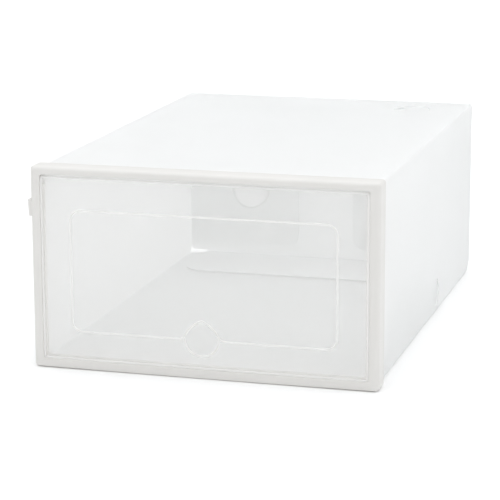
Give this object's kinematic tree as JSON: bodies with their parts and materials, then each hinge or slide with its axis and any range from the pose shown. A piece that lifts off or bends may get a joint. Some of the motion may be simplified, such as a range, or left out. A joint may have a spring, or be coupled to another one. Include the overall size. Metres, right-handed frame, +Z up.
{
  "type": "shoe box",
  "caption": "Front-opening folding shoe box: creased translucent plastic sheet body, moulded white front frame and clear flip-up door hinged at the top.",
  "frame": {"origin": "middle of the base: midway between the front of the frame and the back panel, on the plane of the frame's underside", "axes": "+Z up, -Y is the door side (the back panel faces +Y), +X to the right as seen from the front"},
  "size_m": [0.2323, 0.337, 0.1333],
  "materials": {
    "frame_plastic": "white moulded polypropylene, satin",
    "door_plastic": "clear moulded plastic, glossy with raised lines",
    "sheet_plastic": "translucent white polypropylene sheet, frosted"
  },
  "bodies": {
    "tube": {"floor_panel": "sheet_plastic", "left_wall": "sheet_plastic", "top_panel": "sheet_plastic", "right_wall": "sheet_plastic", "seam_flap": "sheet_plastic"},
    "frame": {"front_frame": "frame_plastic"},
    "flip_door": {"door": "door_plastic"},
    "left_flap": {"left_dust_flap": "sheet_plastic"},
    "right_flap": {"right_dust_flap": "sheet_plastic"},
    "back": {"back_panel": "sheet_plastic"},
    "tuck": {"tuck_flap": "sheet_plastic"}
  },
  "joints": [
    {"name": "frame_pull_off", "type": "slide", "parent": "tube", "child": "frame", "axis": [0, -1, 0], "range_m": [0, 0.04]},
    {"name": "door_hinge", "type": "hinge", "parent": "frame", "child": "flip_door", "pos_m": [0, -0.1653, 0.1246], "axis": [-1, 0, 0], "range_deg": [0, 95]},
    {"name": "left_flap_crease", "type": "hinge", "parent": "tube", "child": "left_flap", "pos_m": [-0.1117, 0.1661, 0.066], "axis": [0, 0, -1], "range_deg": [0, 85]},
    {"name": "right_flap_crease", "type": "hinge", "parent": "tube", "child": "right_flap", "pos_m": [0.1117, 0.1661, 0.066], "axis": [0, 0, 1], "range_deg": [0, 85]},
    {"name": "back_crease", "type": "hinge", "parent": "tube", "child": "back", "pos_m": [0, 0.1677, 0.1305], "axis": [1, 0, 0], "range_deg": [0, 95]},
    {"name": "tuck_crease", "type": "hinge", "parent": "back", "child": "tuck", "pos_m": [0, 0.1677, 0.0039], "axis": [-1, 0, 0], "range_deg": [0, 47.5]}
  ],
  "couplings": [
    {"joint": "tuck_crease", "follows": "back_crease", "ratio": 0.5}
  ]
}
